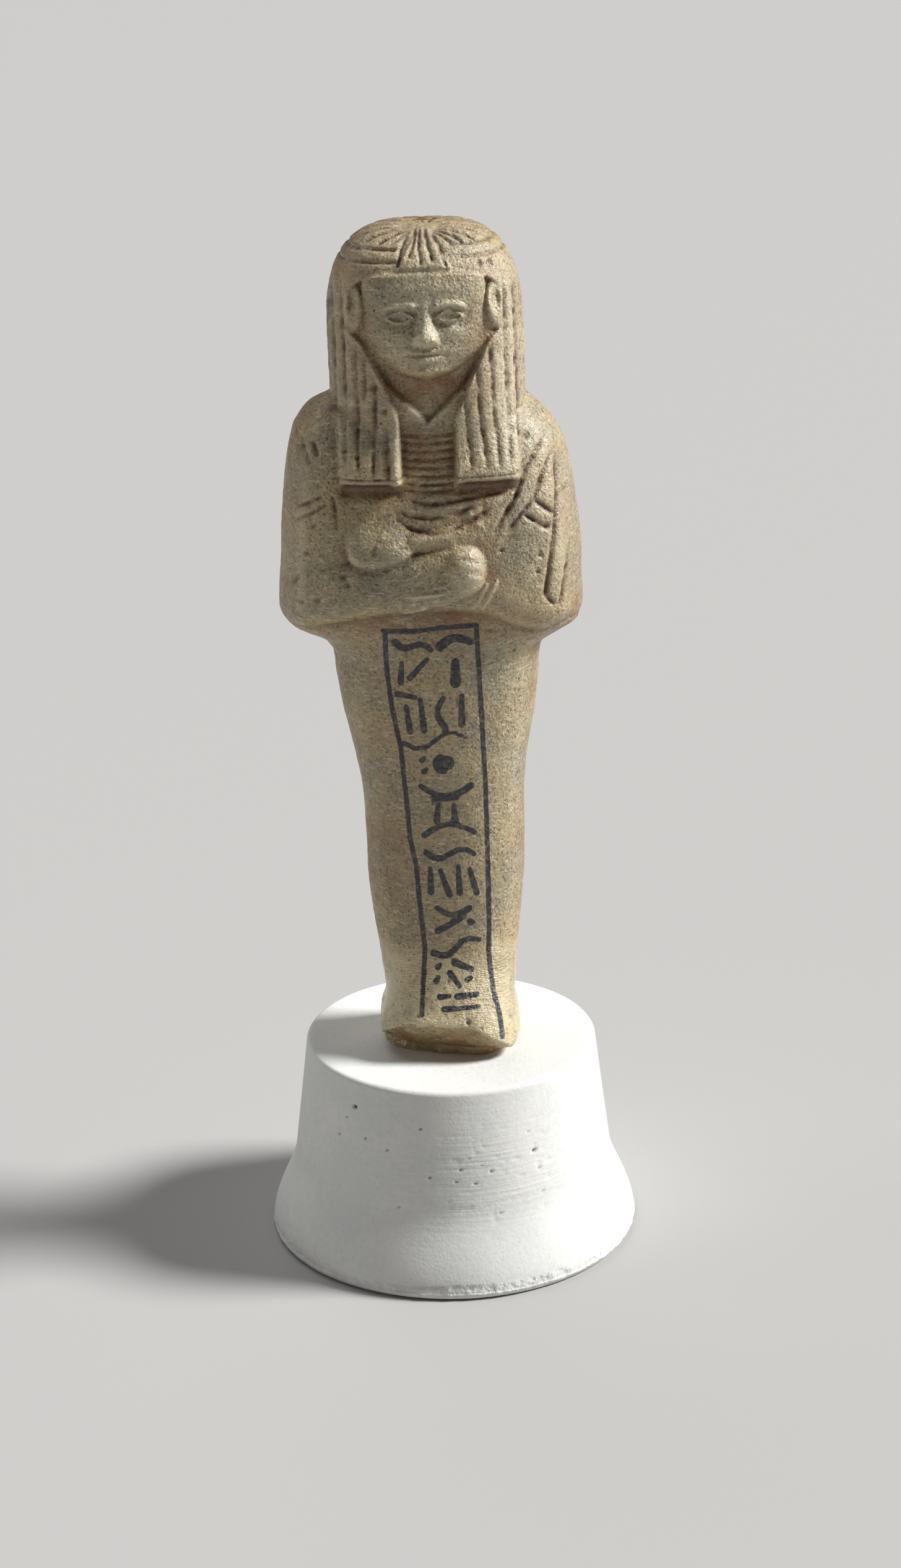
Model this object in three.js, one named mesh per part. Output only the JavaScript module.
// A moulded ushabti figurine, broken at the feet and glued upright on a round plaster stand.
// Millimetres, +Z up. The origin is the centre of the stand's underside, and the face looks along -Y.
import * as THREE from "three";
import { mergeVertices } from "three/addons/utils/BufferGeometryUtils.js";

// Driving dimensions
const figureHeight = 118.5; // broken underside to crown
const leanAngle = 0.85; // degrees, towards -X
const standHeight = 30.0;
const standTopDiameter = 42.6;
const standFlareWidth = 2.4; // how far the foot of the stand spreads past its cone
const standTaper = 0.122; // radius gained per millimetre going down
const standFlareTop = 12.5;
const standFlareBottom = 1.5;
const standEdgeBreak = 0.7; // worn edge of the top face
const standRimHeight = 1.0; // worn edge of the foot
const adhesiveThickness = 1.4; // stand top to broken underside
const adhesiveSpread = 0.9; // how far the glue shows past the foot
const clearance = 0.3;

// Figure proportions are in parts of its height. Heights are measured from the level of the lost soles.
const brokenLevel = 1.3;
const crownLevel = 119.8;
const part = figureHeight / (crownLevel - brokenLevel);

const frontColumns = 48;
const backColumns = 18;
const standSides = 40;
const innerShare = 0.76; // share of the front columns that stay at fixed places across the figure

const faience = new THREE.MeshStandardMaterial({ color: 0xb0a58c, roughness: 0.6, metalness: 0 });
const plaster = new THREE.MeshStandardMaterial({ color: 0xe9e8e2, roughness: 0.9, metalness: 0 });
const glue = new THREE.MeshStandardMaterial({ color: 0x9a8f74, roughness: 0.25, metalness: 0 });

// Blending helpers
const clamp = (value, low, high) => Math.min(Math.max(value, low), high);

function ramp(from, to, value) {
  const t = clamp((value - from) / (to - from), 0, 1);
  return t * t * (3 - 2 * t);
}

function smoothMax(a, b, width) {
  const h = Math.max(width - Math.abs(a - b), 0) / width;
  return Math.max(a, b) + (h * h * width) / 4;
}

const smoothMin = (a, b, width) => -smoothMax(-a, -b, width);
const mix = (a, b, share) => a + (b - a) * share;

// Quarter of a circle: rises steeply from 0 and is level at 1
const roll = (t) => Math.sqrt(1 - (1 - clamp(t, 0, 1)) ** 2);

// A smooth value through stations [level, value], with flat ends.
function stations(...points) {
  const last = points.length - 1;
  const chord = (i) => (points[i + 1][1] - points[i][1]) / (points[i + 1][0] - points[i][0]);
  const slope = points.map((_, i) => {
    if (i === 0 || i === last) return 0;
    const before = chord(i - 1);
    const after = chord(i);
    return before * after <= 0 ? 0 : (2 * before * after) / (before + after);
  });
  return (level) => {
    if (level <= points[0][0]) return points[0][1];
    if (level >= points[last][0]) return points[last][1];
    const i = points.findIndex((_, k) => level < points[k + 1][0]);
    const span = points[i + 1][0] - points[i][0];
    const t = (level - points[i][0]) / span;
    const rise = t * t * (3 - 2 * t);
    const bow = t * (1 - t) * span;
    return mix(points[i][1], points[i + 1][1], rise) + bow * ((1 - t) * slope[i] - t * slope[i + 1]);
  };
}

// Share of the full depth that a rounded section keeps at a share of its half-width.
const sectionShare = (across, power) => (1 - Math.min(Math.abs(across), 1) ** power) ** (1 / power);

// Round mound: 1 at its middle, 0 at its edge.
function mound(x, z, middle, half, power = 2) {
  const reach = Math.abs((x - middle[0]) / half[0]) ** power + Math.abs((z - middle[1]) / half[1]) ** power;
  return reach >= 1 ? 0 : (1 - reach) ** (1 / power);
}

// Soft bell: 1 at its middle, near 0 past twice its half size.
const bell = (x, z, middle, half) =>
  Math.exp(-(((x - middle[0]) / half[0]) ** 2) - ((z - middle[1]) / half[1]) ** 2);

// The wrapped body, from the foot stump to the shoulders. Its middle sways a little off the middle line.
const body = {
  top: 98,
  halfWidth: stations(
    [1.3, 9.75], [2.3, 10.15], [3.5, 10.2], [4.6, 10.05], [5.6, 9.8], [6.6, 9.58], [7.6, 9.48], [8.8, 9.52],
    [11, 9.77], [14, 10.05], [20, 10.75], [28, 11.4], [38, 11.5], [44, 12.25], [48, 13.0], [52, 13.75],
    [56, 14.25], [60.3, 14.7], [62.2, 16.4], [64.3, 20.2], [67, 21.3], [72, 21.1], [80, 20.5], [88.5, 19.25],
    [92, 18.0], [95.4, 15.1], [98, 11.0],
  ),
  middle: stations(
    [1.3, 0.25], [3, 0.06], [5, -0.05], [6.5, 0.12], [8, 0.27], [12, 0.18], [20, 0.15], [30, 0.28], [40, 0.22],
    [50, 0.12], [58, 0], [61, 0.12], [62.6, 0.6], [64, 0.1], [65, -0.32], [67, -0.54], [70, -0.5], [75, -0.3],
    [81, -0.33], [87, -0.45], [90, -0.6], [93, -1.0], [95, -1.25], [96.5, -0.9], [98, -0.5],
  ),
  front: stations(
    [1.3, 12.6], [4, 12.1], [8, 10.7], [12.5, 9.5], [20, 9.2], [30, 9.4], [38, 9.8], [46, 10.3], [58, 10.7],
    [70, 11.0], [80, 10.9], [88, 10.4], [93, 9.2], [98, 6.0],
  ),
  back: stations(
    [1.3, 7.0], [5, 7.5], [13, 7.4], [22, 8.0], [38, 8.3], [52, 9.5], [62, 9.6], [78, 9.3], [88, 8.8],
    [93, 7.8], [98, 6.0],
  ),
  power: stations(
    [1.3, 3.4], [5, 3.2], [9, 2.5], [14, 2.35], [45, 2.3], [60, 2.4], [68, 2.75], [86, 2.6], [98, 2.2],
  ),
};

// The long wig: a dome over a straight fall of hair, with two lappets that lie on the chest
const wig = {
  dome: 103,
  hem: 85.7,
  hemRoll: 1.5,
  halfWidth: 13.45,
  drawnIn: { from: 98, to: 86, share: 0.07 }, // where the fall lies on the shoulders
  widthPower: 3.1,
  depthPower: 2.7,
  front: stations([86, 11.6], [92, 11.8], [100, 12.1], [106, 12.4]),
  back: stations([86, 10.2], [92, 10.7], [106, 11.6]),
  power: 2.5,
  lappetHalf: stations([86, 12.3], [92, 12.7], [98, 13.4]),
  lappetHeight: stations([86, 1.85], [92, 1.65], [97, 0.95], [99, 0]),
  lappetEdge: 2.6,
};

// Hair strands: upright ridges that fade over the dome, the hem and the sides
const strand = { pitch: 2.05, depth: 0.34, top: [117, 114.5], foot: [87.2, 88.2], edge: [13.4, 12.4], backTop: [112, 109] };

// The opening that the wig leaves for face, ears, neck and collar
const opening = {
  top: 114.2,
  halfWidth: stations(
    [86, 3.55], [94.5, 3.7], [97, 4.6], [99.5, 5.6], [102, 6.9], [105, 8.4], [107, 10.2], [111, 10.6],
    [113, 9.6], [114.2, 8.3],
  ),
  edge: 0.5,
  collar: 10.35,
  collarPower: 2.3,
  collarHalf: 12.5,
  neckFoot: 94.4,
  neckSlope: 0.35, // how much higher the neck's foot is for each part to the side
  neckGap: [0.8, 1.3], // how far the neck lies behind the hair, in the middle and added at the edge
  earGap: 1.0,
};

// The face: three equal thirds from hairline to chin, five eye widths across
const chinLevel = 100.6;
const third = (opening.top - chinLevel) / 3;
const faceHalfWidth = 8.2;
const eyeWidth = (2 * faceHalfWidth) / 5;
const face = {
  chin: chinLevel,
  brow: chinLevel + 2 * third,
  nose: chinLevel + third,
  mouth: chinLevel + (2 * third) / 3,
  eye: chinLevel + 2 * third - 0.24 * third,
  eyeAcross: eyeWidth,
  halfWidth: faceHalfWidth,
  edgeDepth: 8.8,
  widest: 108.8,
  jawDrop: 8.9,
  power: 2.1,
  profile: stations(
    [99.9, 10.6], [101.3, 12.0], [102.6, 12.1], [104, 12.3], [106, 12.0], [109.6, 11.9], [112, 11.8],
    [114.2, 11.2],
  ),
};

// Where the wig's outer form is at a level, 1 below the dome and 0 at the crown
function domeShare(z, power) {
  const rise = clamp((z - wig.dome) / (crownLevel - wig.dome), 0, 1);
  return (1 - rise ** power) ** (1 / power);
}

function wigHalfWidth(z) {
  const fall = 1 - wig.drawnIn.share * ramp(wig.drawnIn.from, wig.drawnIn.to, z);
  return wig.halfWidth * fall * domeShare(z, wig.widthPower);
}

function strands(x, z) {
  const ridge = Math.abs(Math.sin((Math.PI * x) / strand.pitch));
  const fade = ramp(...strand.top, z) * ramp(...strand.foot, z) * ramp(...strand.edge, Math.abs(x));
  return strand.depth * (ridge - 1) * fade;
}

function bodyDepth(x, z, side) {
  if (z > body.top) return 0;
  return body[side](z) * sectionShare((x - body.middle(z)) / body.halfWidth(z), body.power(z));
}

// Depth of the hair: the wig's own rounded section, or a set height where it lies on the body
function hairDepth(x, z, side) {
  const share = sectionShare(x / Math.max(wigHalfWidth(z), 1e-6), wig.power);
  const own = wig[side](z) * domeShare(z, wig.depthPower) * share;
  const inward = (wig.lappetHalf(z) - Math.abs(x)) / wig.lappetEdge;
  const lying = inward > 0 ? bodyDepth(x, z, side) + wig.lappetHeight(z) * roll(inward) : 0;
  return smoothMax(own, lying, 0.5);
}

// Trunk with the wig over it, down to the wig's rolled hem
function dressedDepth(x, z, side, relief) {
  const trunk = bodyDepth(x, z, side);
  if (z < wig.hem) return trunk;
  const hair = smoothMax(trunk, hairDepth(x, z, side) + relief, 0.4);
  return mix(trunk, hair, roll((z - wig.hem) / wig.hemRoll));
}

// How far the outline stands out at a level, to the left (-1) or to the right (1)
function outlineAt(z, side) {
  const trunk = z > body.top ? 0 : body.halfWidth(z);
  return Math.max(trunk + side * body.middle(z), z < wig.hem ? 0 : wigHalfWidth(z));
}

// A broad nose ridge that grows from the brow to the tip, with a wing on each side
function noseHeight(x, z) {
  const down = clamp((face.brow - z) / (face.brow - face.nose), 0, 1);
  const half = mix(1.0, 0.6 * eyeWidth, down ** 1.6);
  const ridge = mix(0.5, 1.75, down ** 1.1) * sectionShare(x / half, 1.7);
  const tip = 0.4 * bell(x, z, [0, face.nose + 0.95], [0.9, 0.9]);
  const wings = 0.6 * bell(Math.abs(x), z, [1.25, face.nose + 0.75], [0.55, 0.6]);
  const base = roll(0.5 + (z - face.nose - 0.2 * Math.abs(x)) / 1.3);
  return (ridge * ramp(face.brow + 1.6, face.brow - 1.0, z) + wings + tip) * base;
}

function eyeRelief(x, z) {
  const away = Math.abs(x) - face.eyeAcross;
  const socket = -1.35 * bell(away, z, [-0.15, face.eye], [2.0, 1.35]);
  const ball = 1.0 * mound(away, z, [0, face.eye], [eyeWidth / 2, 0.85]);
  const arch = face.brow + 0.25 - 0.08 * away * away;
  const brow = 0.6 * bell(away, z, [0, arch], [2.0, 0.6]);
  return socket + ball + brow;
}

function mouthRelief(x, z) {
  const upper = 0.5 * bell(x, z, [0, face.mouth + 0.5], [1.9, 0.55]);
  const lower = 0.55 * bell(x, z, [0, face.mouth - 0.6], [1.5, 0.6]);
  const line = -0.34 * bell(x, z, [0, face.mouth], [2.1, 0.3]);
  const chin = 0.6 * bell(x, z, [0, face.chin + 1.1], [1.9, 1.2]);
  return upper + lower + line + chin;
}

function faceDepth(x, z) {
  const drop = clamp((face.widest - z) / face.jawDrop, 0, 1);
  const half = face.halfWidth * Math.sqrt(1 - drop ** 2);
  if (half < 0.2 || Math.abs(x) >= half) return 0;
  const base = mix(face.edgeDepth, face.profile(z), sectionShare(x / half, face.power));
  const cheeks = 0.35 * bell(Math.abs(x), z, [3.9, face.nose + 1.3], [2.2, 1.7]);
  const inside = ramp(1, 0.75, Math.abs(x) / half);
  return base + inside * (noseHeight(x, z) + eyeRelief(x, z) + mouthRelief(x, z) + cheeks);
}

const ear = { middle: [9.75, 109.6], half: [1.6, 3.4], height: 1.5, hollow: 0.9, hollowHalf: [0.62, 1.6] };

function earRelief(x, z) {
  const shell = mound(Math.abs(x), z, ear.middle, ear.half);
  return ear.height * shell - ear.hollow * bell(Math.abs(x), z, ear.middle, ear.hollowHalf) * shell;
}

// Depth behind face and ears: a neck that slopes off sideways to the hair, over a flatter collar
function openingDepth(x, z) {
  const hair = hairDepth(x, z, "front");
  const out = Math.min(Math.abs(x) / opening.halfWidth(z), 1.2);
  const gap = opening.neckGap[0] + opening.neckGap[1] * out ** 1.5;
  const neck = hair - mix(gap, opening.earGap, ramp(face.chin, face.mouth + 1, z));
  const yoke = opening.collar * sectionShare(x / opening.collarHalf, opening.collarPower);
  const collar = smoothMax(bodyDepth(x, z, "front"), yoke, 0.3);
  const rise = ramp(-0.4, 0.5, z - opening.neckFoot - opening.neckSlope * Math.abs(x));
  return smoothMax(faceDepth(x, z), mix(collar, neck, rise) + earRelief(x, z), 0.9);
}

function openingShare(x, z) {
  const across = ramp(opening.edge, -opening.edge, Math.abs(x) - opening.halfWidth(z));
  return across * ramp(opening.top + opening.edge, opening.top - opening.edge, z);
}

// A limb laid on the front: its axis runs through points [x, z, half thickness, height over the body].
function limb(x, z, axis) {
  let best = { reach: Infinity, height: 0 };
  for (let i = 0; i + 1 < axis.length; i += 1) {
    const [x0, z0, half0, height0] = axis[i];
    const [x1, z1, half1, height1] = axis[i + 1];
    const run = (x1 - x0) ** 2 + (z1 - z0) ** 2;
    const t = clamp(((x - x0) * (x1 - x0) + (z - z0) * (z1 - z0)) / run, 0, 1);
    const away = Math.hypot(x - mix(x0, x1, t), z - mix(z0, z1, t));
    const reach = away / mix(half0, half1, t);
    if (reach < best.reach) best = { reach, height: mix(height0, height1, t) };
  }
  return best.reach >= 1 ? 0 : best.height * (1 - best.reach ** 2.2) ** (1 / 2.2);
}

// The crossed arms: [x, level, half thickness, height over the body]
const arms = {
  nearForearm: [[-16.5, 71.2, 4.2, 1.1], [-8, 71.5, 3.8, 1.9], [0, 73.0, 4.2, 2.4], [2.4, 73.9, 4.1, 2.7]],
  farForearm: [[16.5, 70.6, 5.2, 0.8], [11, 72.6, 5.6, 1.0], [5, 74.2, 4.4, 0.9]],
  farWrist: [[-2, 78.3, 1.5, 1.3], [7.4, 78.9, 1.3, 0.9]],
  nearSleeve: [[-15.8, 90, 4.2, 0.8], [-16.2, 74, 4.8, 0.9]],
  farSleeve: [[15.0, 90, 4.2, 0.7], [15.4, 74, 5.0, 0.9]],
};
const fist = { middle: [3.0, 74.2], half: [3.9, 3.5], height: 3.1, power: 3 };
// The near hand rises steeply along its lower edge and dies away slowly upwards.
const restingHand = {
  reach: [-12.1, -0.9],
  height: 2.2,
  foot: stations([-12.1, 77.6], [-11.2, 75.3], [-8.6, 74.3], [-5, 74.8], [-2.6, 76.3], [-0.9, 78.0]),
  top: stations([-12.1, 81.4], [-9.6, 83.0], [-6, 82.6], [-3.0, 80.8], [-0.9, 79.8]),
};
// The folded arms and their sleeves make one thick band with this lower edge, level by place across.
const armsUnderside = stations(
  [-19, 65.4], [-12, 66.6], [-4, 67.6], [2, 67.8], [7, 67.0], [11, 65.2], [14.5, 64.2], [19, 65.0],
);
const armsBand = { height: 1.6, top: 92, fullBelow: 78, roll: 2.6 };

function handRelief(x, z) {
  const ends = roll((x - restingHand.reach[0]) / 1.1) * roll((restingHand.reach[1] - x) / 3.4);
  const rise = roll((z - restingHand.foot(x)) / 1.7);
  return restingHand.height * ends * rise * ramp(0, 5.2, restingHand.top(x) - z);
}

function armRelief(x, z) {
  const sleeves = Math.max(limb(x, z, arms.nearSleeve), limb(x, z, arms.farSleeve));
  const clenched = fist.height * mound(x, z, fist.middle, fist.half, fist.power);
  const under = smoothMax(limb(x, z, arms.farForearm), sleeves, 0.6);
  const near = smoothMax(limb(x, z, arms.nearForearm), clenched, 0.8);
  const over = smoothMax(limb(x, z, arms.farWrist), handRelief(x, z), 0.5);
  const limbs = smoothMax(smoothMax(near, under, 0.4), over, 0.4);
  const above = z - armsUnderside(x);
  const band = armsBand.height * ramp(armsBand.top, armsBand.fullBelow, z) * roll(above / armsBand.roll);
  return band + limbs * ramp(0, 1.4, above);
}

// The break that took the toes: its face runs from a set-back lower edge up to an edge on the front
const footBreak = {
  lowerDepth: stations(
    [-9.6, 2.2], [-8.7, 3.2], [-7.2, 5.0], [-5.8, 6.4], [-2, 7.4], [1.5, 8.3], [5, 9.1], [7, 9.5], [8.6, 9.3],
    [9.8, 8.4],
  ),
  upperLevel: stations(
    [-9.6, 5.6], [-7.5, 6.9], [-6.2, 7.6], [-4, 6.8], [-2, 6.3], [0, 6.0], [2.5, 5.9], [3.8, 5.3], [5.3, 4.3],
    [7.8, 3.3], [9.8, 2.9],
  ),
  frontDepth: 11.7,
  top: 12,
};

function broken(x, z, whole) {
  if (z > footBreak.top) return whole;
  const rise = (z - brokenLevel) / (footBreak.upperLevel(x) - brokenLevel);
  return smoothMin(whole, mix(footBreak.lowerDepth(x), footBreak.frontDepth, rise), 0.3);
}

function frontDepth(x, z) {
  const dressed = dressedDepth(x, z, "front", strands(x, z));
  const share = z < wig.hem ? 0 : openingShare(x, z);
  const opened = share > 0 ? mix(dressed, openingDepth(x, z), share) : dressed;
  const inside = ramp(1, 0.84, Math.abs(x) / outlineAt(z, Math.sign(x)));
  return broken(x, z, opened + armRelief(x, z) * inside);
}

const backDepth = (x, z) => dressedDepth(x, z, "back", strands(x, z) * ramp(...strand.backTop, z));

// Levels of the rows: each band runs from the last one's end to its own, in equal steps.
function rowLevels() {
  const bands = [
    [4.5, 4], [8.3, 3], [12.3, 1], [36, 4], [60, 4], [66, 6], [82.6, 9], [85.6, 1], [87.2, 3], [98, 5],
    [100.4, 2], [110.6, 13], [114.2, 3],
  ];
  const levels = [brokenLevel];
  for (const [end, steps] of bands) {
    const start = levels[levels.length - 1];
    for (let i = 1; i <= steps; i += 1) levels.push(start + ((end - start) * i) / steps);
  }
  const domeRows = 7;
  const domeStart = levels[levels.length - 1];
  for (let i = 1; i < domeRows; i += 1) {
    levels.push(domeStart + (crownLevel - domeStart) * Math.sin((Math.PI / 2) * (i / domeRows)));
  }
  return levels;
}

// Place across the front for t from -1 to 1: even steps inside, crowding towards the outline outside
function across(t, z) {
  const half = outlineAt(z, Math.sign(t));
  const inner = smoothMin(12.4, 0.86 * half, 1);
  const size = Math.abs(t) <= innerShare
    ? (inner * Math.abs(t)) / innerShare
    : inner + (half - inner) * Math.sin((Math.PI / 2) * ((Math.abs(t) - innerShare) / (1 - innerShare)));
  return Math.sign(t) * size;
}

// One ring of the figure, anticlockwise seen from above
function ring(z) {
  const points = [];
  for (let i = 0; i < frontColumns; i += 1) {
    const x = across((2 * i) / frontColumns - 1, z);
    points.push([x, i === 0 ? 0 : -frontDepth(x, z)]);
  }
  for (let i = 0; i < backColumns; i += 1) {
    const turn = Math.cos((Math.PI * i) / backColumns);
    const x = turn * outlineAt(z, Math.sign(turn));
    points.push([x, i === 0 ? 0 : backDepth(x, z)]);
  }
  return points;
}

// Rings joined into a closed skin, with a middle point at each end
function skin(rings, bottom, top) {
  const count = rings[0].points.length;
  const positions = [];
  for (const { z, points } of rings) {
    for (const [x, y] of points) positions.push(x, y, z);
  }
  positions.push(...bottom, ...top);
  const faces = [];
  for (let row = 0; row + 1 < rings.length; row += 1) {
    for (let i = 0; i < count; i += 1) {
      const here = row * count + i;
      const next = row * count + ((i + 1) % count);
      const mirrored = rings[row].points[i][0] < -1e-6;
      if (mirrored) faces.push(here, next, here + count, next, next + count, here + count);
      else faces.push(here, next, next + count, here, next + count, here + count);
    }
  }
  const bottomIndex = rings.length * count;
  const topRow = (rings.length - 1) * count;
  for (let i = 0; i < count; i += 1) {
    const next = (i + 1) % count;
    faces.push(bottomIndex, next, i);
    faces.push(bottomIndex + 1, topRow + i, topRow + next);
  }
  const geometry = new THREE.BufferGeometry();
  geometry.setAttribute("position", new THREE.Float32BufferAttribute(positions, 3));
  geometry.setIndex(faces);
  geometry.computeVertexNormals();
  return geometry;
}

function makeFigure() {
  const rings = rowLevels().map((z) => ({
    z: z * part,
    points: ring(z).map(([x, y]) => [x * part, y * part]),
  }));
  const geometry = skin(rings, [0, 0, brokenLevel * part], [0, 0, crownLevel * part]);
  const mesh = new THREE.Mesh(geometry, faience);
  mesh.name = "ushabti_figure";
  mesh.rotation.y = -THREE.MathUtils.degToRad(leanAngle);
  mesh.position.z = standHeight + adhesiveThickness - brokenLevel * part;
  return mesh;
}

// A cone with a smooth flare towards its foot and a broken edge at both ends
function makeStand() {
  const coneRadius = (z) => standTopDiameter / 2 + standTaper * (standHeight - z);
  const radius = (z) => coneRadius(z) + standFlareWidth * ramp(standFlareTop, standFlareBottom, z);
  const profile = [new THREE.Vector2(0, 0), new THREE.Vector2(radius(0) - 0.4 * standRimHeight, 0)];
  const wallSteps = 9;
  const wallTop = standHeight - standEdgeBreak;
  for (let i = 0; i <= wallSteps; i += 1) {
    const t = i / wallSteps;
    const z = standRimHeight + (wallTop - standRimHeight) * t ** 1.5;
    profile.push(new THREE.Vector2(radius(z), z));
  }
  profile.push(new THREE.Vector2(radius(standHeight) - standEdgeBreak, standHeight));
  profile.push(new THREE.Vector2(0, standHeight));
  const geometry = new THREE.LatheGeometry(profile, standSides);
  geometry.deleteAttribute("normal");
  geometry.deleteAttribute("uv");
  const closed = mergeVertices(geometry, 1e-4);
  closed.rotateX(Math.PI / 2);
  closed.computeVertexNormals();
  const mesh = new THREE.Mesh(closed, plaster);
  mesh.name = "plaster_stand";
  return mesh;
}

// A thin pad whose outline follows the broken underside and creeps out past it
function makeAdhesive() {
  const outline = ring(brokenLevel).map(([x, y]) => new THREE.Vector2(x * part, y * part));
  const spread = (bulge) => outline.map((point) => {
    const length = point.length();
    return [point.x * (1 + bulge / length), point.y * (1 + bulge / length)];
  });
  const bottom = standHeight + clearance / 3;
  const lean = Math.sin(THREE.MathUtils.degToRad(leanAngle)) * body.halfWidth(brokenLevel) * part;
  const top = standHeight + adhesiveThickness - clearance - lean;
  const rings = [
    { z: bottom, points: spread(adhesiveSpread) },
    { z: mix(bottom, top, 0.55), points: spread(adhesiveSpread * 0.7) },
    { z: top, points: spread(0) },
  ];
  const mesh = new THREE.Mesh(skin(rings, [0, 0, bottom], [0, 0, top]), glue);
  mesh.name = "adhesive_bed";
  return mesh;
}

const ushabti = new THREE.Group();
ushabti.add(makeStand(), makeAdhesive(), makeFigure());

export default ushabti;
